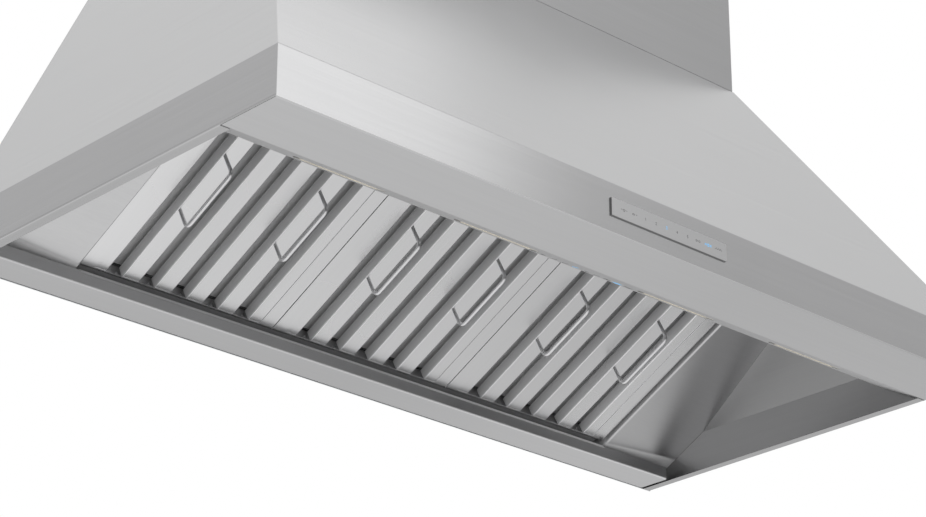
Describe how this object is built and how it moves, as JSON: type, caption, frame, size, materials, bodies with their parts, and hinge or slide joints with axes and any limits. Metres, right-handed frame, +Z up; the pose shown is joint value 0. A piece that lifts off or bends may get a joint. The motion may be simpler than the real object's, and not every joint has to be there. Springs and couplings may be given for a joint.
{
  "type": "chimney range hood",
  "caption": "Wall mounted stainless steel hood with a pyramid canopy, sloping baffle filters, a lamp strip, a touch control, a blower and a telescoping chimney.",
  "frame": {"origin": "on the wall, at the middle of the width, in the plane of the lower rim", "axes": "+Z up, +Y into the wall, +X to the right as seen from the room"},
  "size_m": [1.2192, 0.6121, 0.9053],
  "materials": {
    "canopy_steel": "fine horizontal brushed grain",
    "galvanised_sheet": "plain zinc coated sheet",
    "baffle_steel": "bright satin",
    "handle_wire": "polished",
    "plate_steel": "fine satin",
    "bezel_metal": "satin",
    "lamp_lens": "frosted, warm white",
    "circuit_board": "laminate with solder mask",
    "dark_plastic": "moulded",
    "motor_paint": "satin black",
    "wheel_steel": "zinc coated",
    "turned_steel": "turned",
    "capacitor_can": "drawn",
    "fastener_steel": "plated"
  },
  "bodies": {
    "root": {"canopy_front": "canopy_steel", "canopy_left": "canopy_steel", "canopy_right": "canopy_steel", "canopy_back": "galvanised_sheet", "canopy_top": "galvanised_sheet", "light_pan": "canopy_steel", "grease_trough": "canopy_steel", "liner_left": "canopy_steel", "liner_right": "canopy_steel", "liner_front": "canopy_steel", "filter_front_rail": "galvanised_sheet", "filter_rear_ledge": "galvanised_sheet", "lamp_bezels": "bezel_metal", "lamp_lenses": "lamp_lens", "lamp_boards": "circuit_board", "control_plate": "plate_steel", "control_housing": "dark_plastic", "control_board": "circuit_board", "blower_scroll_left": "galvanised_sheet", "blower_scroll_right": "galvanised_sheet", "blower_inlets": "galvanised_sheet", "motor": "motor_paint", "motor_bracket": "galvanised_sheet", "run_capacitor": "capacitor_can", "outlet_box": "galvanised_sheet", "duct_collar": "galvanised_sheet", "damper_pin": "turned_steel", "power_box": "galvanised_sheet", "power_box_cover": "galvanised_sheet", "power_module": "circuit_board", "cable_gland": "dark_plastic", "chimney_lower": "canopy_steel", "chimney_clips": "galvanised_sheet", "wall_rail": "galvanised_sheet", "blower_bolts": "fastener_steel", "clip_screws": "fastener_steel", "duct_screws": "fastener_steel"},
    "rotor": {"motor_shaft": "turned_steel", "impeller_left": "wheel_steel", "impeller_right": "wheel_steel"},
    "damper_front": {"damper_flap_front": "galvanised_sheet"},
    "damper_rear": {"damper_flap_rear": "galvanised_sheet"},
    "chimney_upper": {"chimney_upper": "canopy_steel", "ceiling_bracket": "galvanised_sheet"},
    "filter_left": {"filter_left_frame": "baffle_steel", "filter_left_front_baffles": "baffle_steel", "filter_left_rear_baffles": "baffle_steel", "filter_left_handles": "handle_wire"},
    "filter_middle": {"filter_middle_frame": "baffle_steel", "filter_middle_front_baffles": "baffle_steel", "filter_middle_rear_baffles": "baffle_steel", "filter_middle_handles": "handle_wire"},
    "filter_right": {"filter_right_frame": "baffle_steel", "filter_right_front_baffles": "baffle_steel", "filter_right_rear_baffles": "baffle_steel", "filter_right_handles": "handle_wire"}
  },
  "joints": [
    {"name": "rotor_spin", "type": "hinge", "parent": "root", "child": "rotor", "pos_m": [0, -0.2, 0.3], "axis": [1, 0, 0], "continuous": true},
    {"name": "damper_rear_swing", "type": "hinge", "parent": "root", "child": "damper_rear", "pos_m": [0, -0.1765, 0.5638], "axis": [1, 0, 0], "range_deg": [0, 80]},
    {"name": "damper_front_swing", "type": "hinge", "parent": "root", "child": "damper_front", "pos_m": [0, -0.1765, 0.5638], "axis": [-1, 0, 0], "range_deg": [0, 80]},
    {"name": "chimney_upper_slide", "type": "slide", "parent": "root", "child": "chimney_upper", "axis": [0, 0, 1], "range_m": [0, 0.3]},
    {"name": "filter_left_lift", "type": "slide", "parent": "root", "child": "filter_left", "axis": [0, -0.891, 0.454], "range_m": [0, 0.016]},
    {"name": "filter_middle_lift", "type": "slide", "parent": "root", "child": "filter_middle", "axis": [0, -0.891, 0.454], "range_m": [0, 0.016]},
    {"name": "filter_right_lift", "type": "slide", "parent": "root", "child": "filter_right", "axis": [0, -0.891, 0.454], "range_m": [0, 0.016]}
  ]
}
